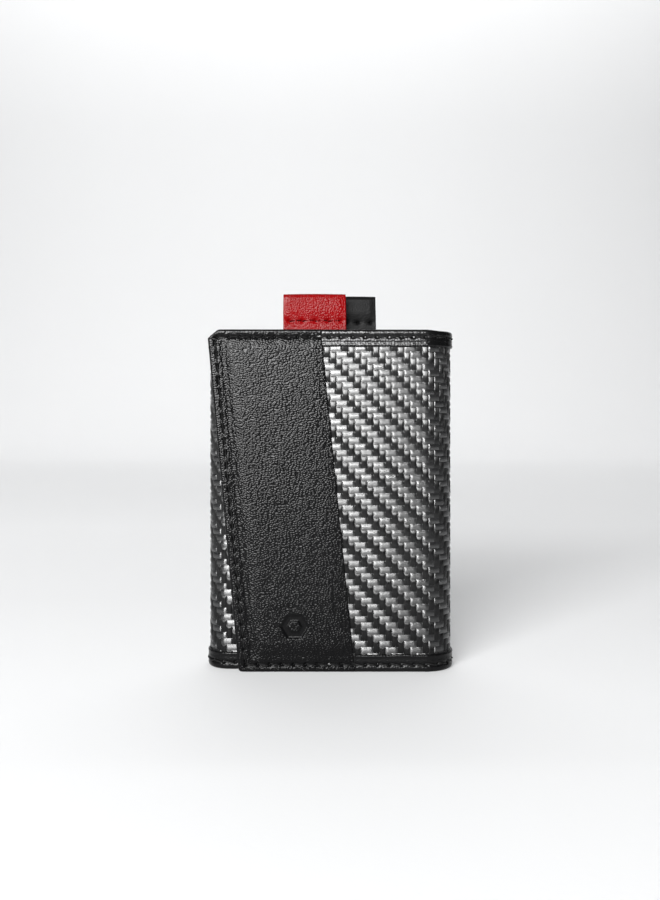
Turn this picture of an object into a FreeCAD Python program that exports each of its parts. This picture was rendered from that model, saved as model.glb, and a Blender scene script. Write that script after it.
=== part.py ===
import FreeCAD, Part
import math
import os

import Sketcher

# Folding pocket wallet with two pull-tab card pockets, as a parametric FreeCAD document.
#
# The wallet stands on its bottom edge: X to the right, Y to the back, Z up, origin in the middle of its
# footprint. A woven outer skin runs from the inner front panel round the left side, across the back, round
# the right side and over the front as a hinged cover. Two card pockets stand between the inner front panel
# and the back. In each pocket a ribbon is sewn to one wall, runs under the cards and comes up the other
# wall to a leather pull tab.
#
# Each sub-part is one document object, and its Label is the name of its file in parts/.

Vector = FreeCAD.Vector

# Driving dimensions, in millimetres and degrees.
SIZES = {
    # overall
    "height": 99.0,            # body, bottom edge to top edge
    "half_width": 35.8,        # middle of the body to the outside of each rounded side
    "skin_radius": 8.3,        # outside of the right side
    "spine_x": 27.5,           # where the right side starts to curve
    # layers
    "skin": 0.6,
    "lining": 0.3,
    "foil": 0.1,
    "board": 0.6,
    "cover_board": 0.7,
    "divider": 0.6,
    "pocket_depth": 5.1,
    "note_gap": 0.8,           # between the inner panel's binding and the cover's turned edge
    # bindings
    "band_height": 5.0,
    "band_proud": 0.5,
    "edge_web": 0.5,
    "turned_leg": 0.3,
    "turned_width": 4.0,
    # cover outline
    "free_top_x": -35.6,
    "free_bottom_x": -26.4,
    "cut_x": 3.2,
    "cut_z": 2.6,
    "strip": 0.7,
    "strip_top_x": -3.0,
    "strip_bottom_x": 6.9,
    # spine folds, counted from the back towards the cover
    "fold_first": 30.0,
    "fold_step": 60.0,
    "fold_gap": 1.0,
    # pockets
    "panel_half": 28.4,
    "gusset": 0.8,
    "pocket_floor": 1.6,
    "floor_panel": 0.8,
    "mouth_z": 96.0,
    # ribbons and tabs
    "ribbon": 0.3,
    "ribbon_width": 15.0,
    "ribbon_gap": 0.15,
    "ribbon_jog": 0.9,
    "anchor_z": 92.0,
    "anchor_height": 6.0,
    "tab_offset": 4.6,
    "tab_width": 18.5,
    "tab_leaf": 0.9,
    "tab_low_z": 97.0,
    "tab_high_z": 110.0,
    # closure magnets
    "magnet_radius": 4.0,
    "magnet_fit": 0.05,
    "magnet_x": -16.0,
    "magnet_low_z": 30.0,
    "magnet_high_z": 70.0,
    # note band
    "note_band_half": 24.0,
    "note_band_low_z": 38.0,
    "note_band_width": 20.0,
    "note_band_thick": 0.5,
    "note_band_rise": 0.5,
    # stitches
    "stitch_pitch": 3.5,
    "stitch_length": 2.7,
    "stitch_radius": 0.25,
    "stitch_inset": 2.2,
    "tab_stitch_z": 102.0,
}

DOC = FreeCAD.newDocument("pull_tab_wallet")


def make_sheet():
    """The spreadsheet that drives the model: one row per size, with the size's name as its alias."""
    sheet = DOC.addObject("Spreadsheet::Sheet", "Sizes")
    for row, (name, value) in enumerate(SIZES.items(), start=1):
        sheet.set(f"A{row}", name)
        sheet.set(f"B{row}", str(value))
        sheet.setAlias(f"B{row}", name)
    DOC.recompute()
    return sheet


SHEET = make_sheet()


class Size:
    """A number together with the sheet formula that gives it, so that properties can be bound to it."""

    def __init__(self, value, text=None):
        self.value = float(value)
        self.text = text or f"({self.value:g})"

    def __add__(self, other):
        other = sized(other)
        return Size(self.value + other.value, f"({self.text} + {other.text})")

    def __sub__(self, other):
        other = sized(other)
        return Size(self.value - other.value, f"({self.text} - {other.text})")

    def __mul__(self, other):
        other = sized(other)
        return Size(self.value * other.value, f"({self.text} * {other.text})")

    def __truediv__(self, other):
        other = sized(other)
        return Size(self.value / other.value, f"({self.text} / {other.text})")

    def __neg__(self):
        return Size(-self.value, f"(0 - {self.text})")


def sized(number):
    return number if isinstance(number, Size) else Size(number)


def sine(angle):
    return Size(math.sin(math.radians(angle.value)), f"sin({angle.text})")


def cosine(angle):
    return Size(math.cos(math.radians(angle.value)), f"cos({angle.text})")


def cell(name):
    """The size held in the sheet's cell of that name."""
    return Size(SHEET.get(name), f"Sizes.{name}")


HEIGHT = cell("height")
RADIUS = cell("skin_radius")
SPINE_X = cell("spine_x")
SKIN = cell("skin")
LINING = cell("lining")
PROUD = cell("band_proud")
WEB = cell("edge_web")
TURNED = cell("turned_leg")
STRIP = cell("strip")
PANEL = cell("panel_half")
RIBBON = cell("ribbon")
ZERO = Size(0.0)
BAND_LOW = cell("band_height")
BAND_HIGH = HEIGHT - cell("band_height")

# Depths, from the back to the front. The strip and the back bindings stand equally far from Y = 0.
SPINE_Y = (STRIP - PROUD) / 2
BACK = SPINE_Y + RADIUS
BACK_IN = BACK - SKIN
REAR_LINING = BACK_IN - cell("foil")
REAR_BACK = REAR_LINING - LINING
REAR_FRONT = REAR_BACK - cell("pocket_depth")
FRONT_BACK = REAR_FRONT - cell("divider")
FRONT_FRONT = FRONT_BACK - cell("pocket_depth")
PANEL_FOIL = FRONT_FRONT - LINING
PANEL_BOARD = PANEL_FOIL - cell("foil")
PANEL_SKIN = PANEL_BOARD - cell("board")
PANEL_FACE = PANEL_SKIN - SKIN
PANEL_BAND = PANEL_FACE - PROUD
COVER_FACE = SPINE_Y - RADIUS
COVER_BOARD = COVER_FACE + SKIN
COVER_LINING = COVER_BOARD + cell("cover_board")
COVER_TURN = COVER_LINING + LINING
COVER_BACK = COVER_TURN + TURNED
STRIP_FACE = COVER_FACE - STRIP

# The left side is a half circle from the back to the inner front panel.
LEFT_RADIUS = (BACK - PANEL_FACE) / 2
LEFT_X = -(cell("half_width") - LEFT_RADIUS)
LEFT_Y = (BACK + PANEL_FACE) / 2


# ---------------------------------------------------------------- sketches and bodies


class Corner:
    """A corner of an outline. bend is (centre x, centre y, clockwise) if the edge that leaves it is an arc."""

    def __init__(self, x, y, bend=None):
        self.x = sized(x)
        self.y = sized(y)
        self.bend = bend


def corners(*pairs):
    return [Corner(x, y) for x, y in pairs]


def rectangle(x_low, x_high, y_low, y_high):
    return corners((x_low, y_low), (x_high, y_low), (x_high, y_high), (x_low, y_high))


def arc_edge(start, end):
    """The arc from one corner to the next, which FreeCAD stores anticlockwise."""
    centre = Vector(start.bend[0].value, start.bend[1].value, 0)
    first, last = (end, start) if start.bend[2] else (start, end)
    arm = Vector(first.x.value, first.y.value, 0) - centre
    circle = Part.Circle(centre, Vector(0, 0, 1), arm.Length)
    angles = [
        math.atan2(c.y.value - centre.y, c.x.value - centre.x) for c in (first, last)
    ]
    if angles[1] < angles[0]:
        angles[1] += 2 * math.pi
    return Part.ArcOfCircle(circle, *angles)


def bound(sketch, kind, edge, end, size, name):
    """Holds one coordinate of a point of the sketch to a sheet formula."""
    index = sketch.addConstraint(Sketcher.Constraint(kind, -1, 1, edge, end, size.value))
    sketch.renameConstraint(index, name)
    sketch.setExpression(f"Constraints.{name}", size.text)


def add_sketch(body, plane, offset, outline):
    """A closed outline on one of the body's own planes, moved along the plane's normal by offset."""
    name = f"{body.Name}_sketch_{len(body.Group)}"
    sketch = body.newObject("Sketcher::SketchObject", name)
    support = next(f for f in body.Origin.OriginFeatures if f.Role == plane)
    sketch.AttachmentSupport = [(support, "")]
    sketch.MapMode = "FlatFace"
    sketch.setExpression("AttachmentOffset.Base.z", offset.text)
    count = len(outline)
    for i, corner in enumerate(outline):
        following = outline[(i + 1) % count]
        if corner.bend:
            sketch.addGeometry(arc_edge(corner, following))
        else:
            sketch.addGeometry(
                Part.LineSegment(
                    Vector(corner.x.value, corner.y.value, 0),
                    Vector(following.x.value, following.y.value, 0),
                )
            )
    for i, corner in enumerate(outline):
        before = outline[i - 1]
        end_before = 1 if before.bend and before.bend[2] else 2
        start_here = 2 if corner.bend and corner.bend[2] else 1
        sketch.addConstraint(
            Sketcher.Constraint("Coincident", (i - 1) % count, end_before, i, start_here)
        )
        bound(sketch, "DistanceX", i, start_here, corner.x, f"x{i}")
        bound(sketch, "DistanceY", i, start_here, corner.y, f"y{i}")
        if corner.bend:
            following = outline[(i + 1) % count]
            across = abs(following.x.value - corner.x.value)
            upward = abs(following.y.value - corner.y.value)
            if across > upward:
                bound(sketch, "DistanceY", i, 3, corner.bend[1], f"centre{i}")
            else:
                bound(sketch, "DistanceX", i, 3, corner.bend[0], f"centre{i}")
    return sketch


def make_body(label):
    body = DOC.addObject("PartDesign::Body", label)
    body.Label = label
    return body


def add_pad(body, plane, offset, length, outline):
    pad = body.newObject("PartDesign::Pad", f"{body.Name}_pad_{len(body.Group)}")
    pad.Profile = add_sketch(body, plane, offset, outline)
    pad.setExpression("Length", length.text)
    return pad


def add_slab(body, y_back, y_front, outline):
    """Material from y_back forward to y_front, with its outline in X and Z."""
    return add_pad(body, "XZ_Plane", -y_back, y_back - y_front, outline)


def add_layer(body, z_low, z_high, outline):
    """Material from z_low up to z_high, with its outline in X and Y."""
    return add_pad(body, "XY_Plane", z_low, z_high - z_low, outline)


def add_band(body, x_low, x_high, outline):
    """Material from x_low to x_high, with its outline in Y and Z."""
    return add_pad(body, "YZ_Plane", x_low, x_high - x_low, outline)


def cut_slab(body, y_back, y_front, outline):
    """Removes what add_slab would add, and checks that it removed something."""
    DOC.recompute()
    volume = body.Shape.Volume
    pocket = body.newObject("PartDesign::Pocket", f"{body.Name}_pocket_{len(body.Group)}")
    pocket.Profile = add_sketch(body, "XZ_Plane", -y_back, outline)
    pocket.setExpression("Length", (y_back - y_front).text)
    pocket.Reversed = True
    DOC.recompute()
    if not body.Shape.Volume < volume - 1e-3:
        raise RuntimeError(f"{body.Label}: {pocket.Name} cuts nothing")
    return pocket


def disc(radius, x, z):
    """A circle in X and Z as two half circles."""
    return [
        Corner(x - radius, z, (x, z, False)),
        Corner(x + radius, z, (x, z, False)),
    ]


# ---------------------------------------------------------------- outlines


def spine_point(radius, angle):
    """A point on the right side, by its angle from the back."""
    return SPINE_X + radius * sine(angle), SPINE_Y + radius * cosine(angle)


def spine_sector(outer, inner, start, end):
    """A stretch of the right side between two angles and two radii."""
    turn = (SPINE_X, SPINE_Y)
    return [
        Corner(*spine_point(outer, start), (*turn, True)),
        Corner(*spine_point(outer, end)),
        Corner(*spine_point(inner, end), (*turn, False)),
        Corner(*spine_point(inner, start)),
    ]


FOLD_FIRST = cell("fold_first")
FOLD_STEP = cell("fold_step")
FOLD_GAP = cell("fold_gap")
HALF_TURN = Size(180.0)


def body_wall(outside, inside, front_inside):
    """The body's wall from above: inner front panel, left side, back and the first stretch of the right side."""
    left = (LEFT_X, LEFT_Y)
    right = (SPINE_X, SPINE_Y)
    outer = LEFT_RADIUS + outside
    inner = LEFT_RADIUS - inside
    stop = FOLD_FIRST - FOLD_GAP
    front_in = PANEL_FACE + front_inside
    outline = [
        Corner(PANEL, PANEL_FACE - outside),
        Corner(LEFT_X, PANEL_FACE - outside, (*left, True)),
        Corner(LEFT_X, LEFT_Y + outer),
        Corner(SPINE_X, BACK + outside, (*right, True)),
        Corner(*spine_point(RADIUS + outside, stop)),
        Corner(*spine_point(RADIUS - inside, stop), (*right, False)),
        Corner(SPINE_X, BACK - inside),
        Corner(LEFT_X, LEFT_Y + inner, (*left, False)),
        Corner(LEFT_X, LEFT_Y - inner),
    ]
    if abs(front_inside.value - inside.value) > 1e-6:
        outline.append(Corner(LEFT_X, front_in))
    outline.append(Corner(PANEL, front_in))
    return outline


def slanted(top, bottom, z):
    """The X of a slanted edge at a height."""
    return bottom + (top - bottom) * z / HEIGHT


def free_edge(z, inset):
    return slanted(cell("free_top_x"), cell("free_bottom_x"), z) + inset


def strip_edge(z):
    return slanted(cell("strip_top_x"), cell("strip_bottom_x"), z)


def cover_outline(inset, right_low, right_high):
    """The cover's outline in X and Z, inset from its free, top and bottom edges."""
    low, high = ZERO + inset, HEIGHT - inset
    cut_z = HEIGHT - cell("cut_z")
    return corners(
        (free_edge(low, inset), low),
        (right_low, low),
        (right_high, high),
        (free_edge(HEIGHT, inset) + cell("cut_x"), high),
        (free_edge(cut_z, inset), cut_z),
    )


# ---------------------------------------------------------------- body


def make_body_skin():
    body = make_body("body_skin")
    add_layer(body, WEB, HEIGHT - WEB, body_wall(ZERO, SKIN, SKIN))


def make_body_lining():
    """The lining across the back and round the left side."""
    body = make_body("body_lining")
    outer = LEFT_RADIUS - SKIN - cell("foil")
    inner = outer - LINING
    left = (LEFT_X, LEFT_Y)
    outline = [
        Corner(LEFT_X, LEFT_Y - outer, (*left, True)),
        Corner(LEFT_X, LEFT_Y + outer),
        Corner(SPINE_X, REAR_LINING),
        Corner(SPINE_X, REAR_BACK),
        Corner(LEFT_X, LEFT_Y + inner, (*left, False)),
        Corner(LEFT_X, LEFT_Y - inner),
    ]
    add_layer(body, WEB, HEIGHT - WEB, outline)


def make_body_binding(label, low, high, web_low, web_high):
    """A leather band round the outside of the body, folded over the wall's edge."""
    body = make_body(label)
    wall = SKIN + cell("foil") + LINING
    panel_wall = FRONT_FRONT - PANEL_FACE
    add_layer(body, low, high, body_wall(PROUD, ZERO, ZERO))
    add_layer(body, web_low, web_high, body_wall(ZERO, wall, panel_wall))


def make_flat_sheet(label, x_low, x_high, y_back, y_front, z_low, z_high):
    body = make_body(label)
    add_slab(body, y_back, y_front, rectangle(x_low, x_high, z_low, z_high))


def make_inner_panel():
    """The board, foil and lining behind the inner front panel's skin, and the binding of its right edge."""
    board = make_body("inner_panel_board")
    add_slab(board, PANEL_BOARD, PANEL_SKIN, rectangle(LEFT_X + 1, PANEL, WEB, HEIGHT - WEB))
    for name in ("magnet_low_z", "magnet_high_z"):
        radius = cell("magnet_radius") + cell("magnet_fit")
        cut_slab(board, PANEL_BOARD, PANEL_SKIN, disc(radius, cell("magnet_x"), cell(name)))
    make_flat_sheet(
        "front_shield_foil", -PANEL, PANEL, PANEL_FOIL, PANEL_BOARD, WEB, HEIGHT - WEB
    )
    make_flat_sheet(
        "inner_panel_lining", -PANEL, PANEL, FRONT_FRONT, PANEL_FOIL, WEB, HEIGHT - WEB
    )
    binding = make_body("inner_panel_edge_binding")
    outer_x = PANEL + PROUD
    outline = corners(
        (outer_x, PANEL_BAND),
        (outer_x, FRONT_FRONT),
        (PANEL, FRONT_FRONT),
        (PANEL, PANEL_FACE),
        (outer_x - cell("turned_width"), PANEL_FACE),
        (outer_x - cell("turned_width"), PANEL_BAND),
    )
    add_layer(binding, BAND_LOW, BAND_HIGH, outline)


def make_pocket_gusset(label, y_back, y_front):
    """The U-shaped gusset that closes a card pocket's sides and floor."""
    body = make_body(label)
    inner_x = PANEL - cell("gusset")
    floor = cell("pocket_floor")
    outline = corners(
        (-PANEL, floor),
        (PANEL, floor),
        (PANEL, cell("mouth_z")),
        (inner_x, cell("mouth_z")),
        (inner_x, floor + cell("gusset")),
        (-inner_x, floor + cell("gusset")),
        (-inner_x, cell("mouth_z")),
        (-PANEL, cell("mouth_z")),
    )
    add_slab(body, y_back, y_front, outline)


def make_pockets():
    make_pocket_gusset("front_pocket_gusset", FRONT_BACK, FRONT_FRONT)
    make_pocket_gusset("rear_pocket_gusset", REAR_BACK, REAR_FRONT)
    floor = cell("pocket_floor")
    make_flat_sheet(
        "pocket_divider", -PANEL, PANEL, REAR_FRONT, FRONT_BACK, floor, cell("mouth_z")
    )
    make_flat_sheet(
        "bottom_panel", -PANEL, PANEL, REAR_BACK, FRONT_FRONT, floor - cell("floor_panel"), floor
    )
    make_flat_sheet("rear_shield_foil", -PANEL, SPINE_X, BACK_IN, REAR_LINING, WEB, HEIGHT - WEB)


def make_note_band():
    """The leather band across the inner front panel that holds folded notes."""
    body = make_body("note_band")
    half = cell("note_band_half")
    rise = PANEL_FACE - cell("note_band_rise")
    thick = cell("note_band_thick")
    outline = corners(
        (-half, PANEL_FACE),
        (-half, PANEL_FACE - thick),
        (-(half - 3), PANEL_FACE - thick),
        (-(half - 5), rise - thick),
        (half - 5, rise - thick),
        (half - 3, PANEL_FACE - thick),
        (half, PANEL_FACE - thick),
        (half, PANEL_FACE),
        (half - 3, PANEL_FACE),
        (half - 5, rise),
        (-(half - 5), rise),
        (-(half - 3), PANEL_FACE),
    )
    low = cell("note_band_low_z")
    add_layer(body, low, low + cell("note_band_width"), outline)


# ---------------------------------------------------------------- spine


def make_spine_section(name, start):
    """One hinged section of the right side: its skin, lining and two bindings."""
    first = start + FOLD_GAP
    last = start + FOLD_STEP - FOLD_GAP
    lining_outer = RADIUS - SKIN
    skin = make_body(f"{name}_skin")
    add_layer(skin, WEB, HEIGHT - WEB, spine_sector(RADIUS, lining_outer, first, last))
    lining = make_body(f"{name}_lining")
    inner = lining_outer - LINING
    add_layer(lining, WEB, HEIGHT - WEB, spine_sector(lining_outer, inner, first, last))
    bands = {
        "top": (BAND_HIGH, HEIGHT, HEIGHT - WEB, HEIGHT),
        "bottom": (ZERO, BAND_LOW, ZERO, WEB),
    }
    for where, (low, high, web_low, web_high) in bands.items():
        band = make_body(f"{name}_{where}_binding")
        add_layer(band, low, high, spine_sector(RADIUS + PROUD, RADIUS, first, last))
        add_layer(band, web_low, web_high, spine_sector(RADIUS, inner, first, last))


# ---------------------------------------------------------------- cover


def make_cover_skin():
    body = make_body("cover_skin")
    add_slab(body, COVER_BOARD, COVER_FACE, cover_outline(WEB, SPINE_X, SPINE_X))
    start = FOLD_FIRST + FOLD_STEP * 2 + FOLD_GAP
    add_layer(
        body, WEB, HEIGHT - WEB, spine_sector(RADIUS, RADIUS - SKIN, start, HALF_TURN)
    )


def make_cover_board():
    body = make_body("cover_board")
    add_slab(body, COVER_LINING, COVER_BOARD, cover_outline(WEB, SPINE_X, SPINE_X))
    for name in ("magnet_low_z", "magnet_high_z"):
        radius = cell("magnet_radius") + cell("magnet_fit")
        cut_slab(body, COVER_LINING, COVER_BOARD, disc(radius, cell("magnet_x"), cell(name)))


def make_cover_lining():
    body = make_body("cover_lining")
    add_slab(body, COVER_TURN, COVER_LINING, cover_outline(WEB, SPINE_X, SPINE_X))


def make_cover_strip():
    """The leather panel over the cover's free half, turned over the free, top and bottom edges."""
    body = make_body("cover_strip")
    whole = cover_outline(ZERO, strip_edge(ZERO), strip_edge(HEIGHT))
    add_slab(body, COVER_BACK, STRIP_FACE, whole)
    past = SPINE_X
    cut_slab(body, COVER_TURN, COVER_FACE, cover_outline(WEB, past, past))
    window = cover_outline(WEB + cell("turned_width"), past, past)
    cut_slab(body, COVER_BACK, COVER_TURN, window)


def make_cover_binding(label, low, high, web_low, web_high):
    """A leather band along the cover's edge, from the strip to the first fold of the right side."""
    body = make_body(label)

    def piece(z_low, z_high):
        return corners(
            (strip_edge(z_low), z_low),
            (SPINE_X, z_low),
            (SPINE_X, z_high),
            (strip_edge(z_high), z_high),
        )

    start = FOLD_FIRST + FOLD_STEP * 2 + FOLD_GAP
    inner = RADIUS - SKIN - LINING
    add_slab(body, COVER_FACE, COVER_FACE - PROUD, piece(low, high))
    add_slab(body, COVER_BACK, COVER_FACE, piece(web_low, web_high))
    add_slab(body, COVER_BACK, COVER_TURN, piece(low, high))
    add_layer(body, low, high, spine_sector(RADIUS + PROUD, RADIUS, start, HALF_TURN))
    add_layer(body, web_low, web_high, spine_sector(RADIUS, inner, start, HALF_TURN))


# ---------------------------------------------------------------- magnets


def make_magnet(label, y_back, y_front, z_name):
    body = make_body(label)
    add_slab(body, y_back, y_front, disc(cell("magnet_radius"), cell("magnet_x"), cell(z_name)))


# ---------------------------------------------------------------- ribbons and tabs


def make_pull_strap(name, pocket_front, pocket_back, middle_x):
    """A ribbon sewn to the pocket's back wall, round under the cards and up the front wall to its tab."""
    half = cell("ribbon_width") / 2
    x_low, x_high = middle_x - half, middle_x + half
    front = pocket_front + cell("ribbon_gap")
    back = pocket_back - cell("ribbon_gap")
    radius = (back - front) / 2
    middle_y = (back + front) / 2
    bend_z = cell("pocket_floor") + cell("gusset") + cell("ribbon_gap") + radius
    centre = (middle_y, bend_z)

    loop = make_body(f"{name}_strap_loop")
    outline = [
        Corner(front, bend_z, (*centre, False)),
        Corner(back, bend_z),
        Corner(back - RIBBON, bend_z, (*centre, True)),
        Corner(front + RIBBON, bend_z),
    ]
    add_band(loop, x_low, x_high, outline)

    tail = make_body(f"{name}_strap_tail")
    low = bend_z + RIBBON / 2
    sewn = cell("anchor_z") - cell("anchor_height")
    outline = corners(
        (back - RIBBON, low),
        (back, low),
        (back, sewn - 2),
        (pocket_back, sewn),
        (pocket_back, cell("anchor_z")),
        (back - RIBBON, cell("anchor_z")),
    )
    add_band(tail, x_low, x_high, outline)

    run = make_body(f"{name}_strap_run")
    jog = cell("ribbon_jog")
    jog_low = cell("mouth_z") - 3
    jog_high = cell("mouth_z")
    leaf = cell("tab_leaf")
    top = cell("tab_high_z") - leaf * 2
    outline = corners(
        (front, low),
        (front + RIBBON, low),
        (front + RIBBON, jog_low),
        (front + jog + RIBBON, jog_high),
        (front + jog + RIBBON, top),
        (front + jog, top),
        (front + jog, jog_high),
        (front, jog_low),
    )
    add_band(run, x_low, x_high, outline)

    grip = make_body(f"{name}_tab_grip")
    half_tab = cell("tab_width") / 2
    grip_low = cell("tab_low_z")
    face = front + jog - leaf
    rear = front + jog + RIBBON + leaf
    cap_z = cell("tab_high_z") - (rear - face) / 2
    cap = ((face + rear) / 2, cap_z)
    outline = [
        Corner(face, grip_low),
        Corner(front + jog, grip_low),
        Corner(front + jog, top),
        Corner(front + jog + RIBBON, top),
        Corner(front + jog + RIBBON, grip_low),
        Corner(rear, grip_low),
        Corner(rear, cap_z, (*cap, False)),
        Corner(face, cap_z),
    ]
    add_band(grip, middle_x - half_tab, middle_x + half_tab, outline)
    DOC.recompute()
    make_tab_stitches(name, middle_x, face, rear)


# ---------------------------------------------------------------- stitches


def stitch(middle, along):
    """One thread segment with its centre line on the surface it is sewn to."""
    length = SHEET.get("stitch_length")
    start = middle - along * (length / 2)
    return Part.makeCylinder(SHEET.get("stitch_radius"), length, start, along)


def spread(low, high):
    """Evenly spaced middles of stitches between two ends."""
    count = max(1, int((high - low) / SHEET.get("stitch_pitch")))
    step = (high - low) / count
    return [low + step * (i + 0.5) for i in range(count)]


def row_heights():
    inset = SHEET.get("stitch_inset")
    return inset, HEIGHT.value - inset


def level_stitches(x_low, x_high, y, z):
    return [stitch(Vector(x, y, z), Vector(1, 0, 0)) for x in spread(x_low, x_high)]


def upright_stitches(x, y, z_low, z_high):
    return [stitch(Vector(x, y, z), Vector(0, 0, 1)) for z in spread(z_low, z_high)]


def arc_stitches(x, y, radius, first, last, z):
    """Stitches round an upright arc, by angle in degrees from the back."""
    sweep = math.degrees(SHEET.get("stitch_length") / radius)
    length = math.radians(last - first) * radius
    threads = []
    for along in spread(0.0, length):
        angle = first + math.degrees(along / radius)
        thread = Part.makeTorus(
            radius, SHEET.get("stitch_radius"), Vector(0, 0, 0), Vector(0, 0, 1), -180, 180, sweep
        )
        thread.rotate(Vector(0, 0, 0), Vector(0, 0, 1), 90 - angle - sweep / 2)
        thread.translate(Vector(x, y, z))
        threads.append(thread)
    return threads


def add_stitches(label, threads, *sewn):
    """Adds the part of each thread that stands out of the named sub-parts."""
    for name in sewn:
        leather = DOC.getObject(name).Shape
        threads = [thread.cut(leather) for thread in threads]
    solids = [solid for thread in threads for solid in thread.Solids]
    if len(solids) != len(threads):
        raise RuntimeError(f"{label}: {len(threads)} threads gave {len(solids)} solids")
    feature = DOC.addObject("Part::Feature", label)
    feature.Label = label
    feature.Shape = Part.makeCompound(solids)


def make_body_stitches():
    threads = []
    outer = LEFT_RADIUS.value + PROUD.value
    back = BACK.value + PROUD.value
    for z in row_heights():
        threads += level_stitches(LEFT_X.value, PANEL.value, PANEL_BAND.value, z)
        threads += level_stitches(LEFT_X.value, SPINE_X.value, back, z)
        threads += arc_stitches(LEFT_X.value, LEFT_Y.value, outer, 180.0, 360.0, z)
        threads += spine_stitches(0.0, FOLD_FIRST.value, z)
    add_stitches("body_stitches", threads, "body_top_binding", "body_bottom_binding")


def make_edge_stitches():
    """The row down the binding of the inner front panel's right edge."""
    x = PANEL.value + PROUD.value - SHEET.get("stitch_inset")
    threads = upright_stitches(x, PANEL_BAND.value, BAND_LOW.value, BAND_HIGH.value)
    add_stitches("inner_panel_edge_stitches", threads, "inner_panel_edge_binding")


def make_note_band_stitches():
    y = PANEL_FACE.value - SHEET.get("note_band_thick")
    low = SHEET.get("note_band_low_z")
    high = low + SHEET.get("note_band_width")
    end = SHEET.get("note_band_half") - 1.5
    threads = upright_stitches(-end, y, low, high) + upright_stitches(end, y, low, high)
    add_stitches("note_band_stitches", threads, "note_band")


def spine_stitches(first, last, z):
    outer = RADIUS.value + PROUD.value
    return arc_stitches(SPINE_X.value, SPINE_Y.value, outer, first, last, z)


def make_spine_stitches(name, first):
    threads = []
    for z in row_heights():
        threads += spine_stitches(first, first + FOLD_STEP.value, z)
    add_stitches(f"{name}_stitches", threads, f"{name}_top_binding", f"{name}_bottom_binding")


def make_cover_stitches():
    """Rows along the cover's top and bottom edges and down its free edge."""
    inset = SHEET.get("stitch_inset")
    low, high = row_heights()
    threads = []
    last_fold = FOLD_FIRST.value + FOLD_STEP.value * 2
    for z in (low, high):
        strip_x = strip_edge(Size(z)).value
        free_x = free_edge(Size(z), Size(inset)).value + (SHEET.get("cut_x") if z == high else 0)
        threads += level_stitches(free_x, strip_x, STRIP_FACE.value, z)
        threads += level_stitches(strip_x, SPINE_X.value, COVER_FACE.value - PROUD.value, z)
        threads += spine_stitches(last_fold, 180.0, z)
    edge = [
        Vector(free_edge(Size(z), Size(inset)).value, STRIP_FACE.value, z)
        for z in (low + 1, high - 1)
    ]
    slope = (edge[1] - edge[0]).normalize()
    for along in spread(0.0, (edge[1] - edge[0]).Length):
        threads.append(stitch(edge[0] + slope * along, slope))
    sewn = ("cover_strip", "cover_top_binding", "cover_bottom_binding")
    add_stitches("cover_stitches", threads, *sewn)


def make_tab_stitches(name, middle_x, face, rear):
    half = SHEET.get("tab_width") / 2 - 1.0
    z = SHEET.get("tab_stitch_z")
    low, high = middle_x.value - half, middle_x.value + half
    threads = level_stitches(low, high, face.value, z) + level_stitches(low, high, rear.value, z)
    add_stitches(f"{name}_tab_stitches", threads, f"{name}_tab_grip")


# ---------------------------------------------------------------- the wallet


def make_wallet():
    make_body_skin()
    make_body_lining()
    make_body_binding("body_top_binding", BAND_HIGH, HEIGHT, HEIGHT - WEB, HEIGHT)
    make_body_binding("body_bottom_binding", ZERO, BAND_LOW, ZERO, WEB)
    make_inner_panel()
    make_pockets()
    make_note_band()
    make_spine_section("spine_rear", FOLD_FIRST)
    make_spine_section("spine_front", FOLD_FIRST + FOLD_STEP)
    make_cover_skin()
    make_cover_board()
    make_cover_lining()
    make_cover_strip()
    make_cover_binding("cover_top_binding", BAND_HIGH, HEIGHT, HEIGHT - WEB, HEIGHT)
    make_cover_binding("cover_bottom_binding", ZERO, BAND_LOW, ZERO, WEB)
    DOC.recompute()

    make_body_stitches()
    make_edge_stitches()
    make_note_band_stitches()
    make_spine_stitches("spine_rear", FOLD_FIRST.value)
    make_spine_stitches("spine_front", FOLD_FIRST.value + FOLD_STEP.value)
    make_cover_stitches()

    for where in ("lower", "upper"):
        z_name = "magnet_low_z" if where == "lower" else "magnet_high_z"
        make_magnet(f"cover_magnet_{where}", COVER_LINING, COVER_BOARD, z_name)
        make_magnet(f"panel_magnet_{where}", PANEL_BOARD, PANEL_SKIN, z_name)

    make_pull_strap("red", FRONT_FRONT, FRONT_BACK, -cell("tab_offset"))
    make_pull_strap("black", REAR_FRONT, REAR_BACK, cell("tab_offset"))


def sub_parts():
    kinds = ("PartDesign::Body", "Part::Feature")
    return [o for o in DOC.Objects if o.TypeId in kinds and o.getParentGeoFeatureGroup() is None]


def check_and_export():
    """Stops if anything in the document failed, then writes each sub-part to its own file."""
    for item in DOC.Objects:
        if any(word in state for state in item.State for word in ("Invalid", "Error")):
            raise RuntimeError(f"{item.Label} failed: {item.State}")
    os.makedirs("parts", exist_ok=True)
    for item in sub_parts():
        shape = item.Shape
        if shape.isNull() or not shape.isValid() or not shape.Solids:
            raise RuntimeError(f"{item.Label} has no valid solid")
        shape.exportStep(f"parts/{item.Label}.step")
        box = shape.BoundBox
        print(
            f"{item.Label:28s} {len(shape.Solids):3d} solids {shape.Volume:9.1f} mm3 "
            f"x {box.XMin:6.2f}..{box.XMax:6.2f} y {box.YMin:6.2f}..{box.YMax:6.2f} "
            f"z {box.ZMin:6.2f}..{box.ZMax:6.2f}"
        )


make_wallet()
DOC.recompute()
check_and_export()
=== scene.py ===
import math

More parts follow.
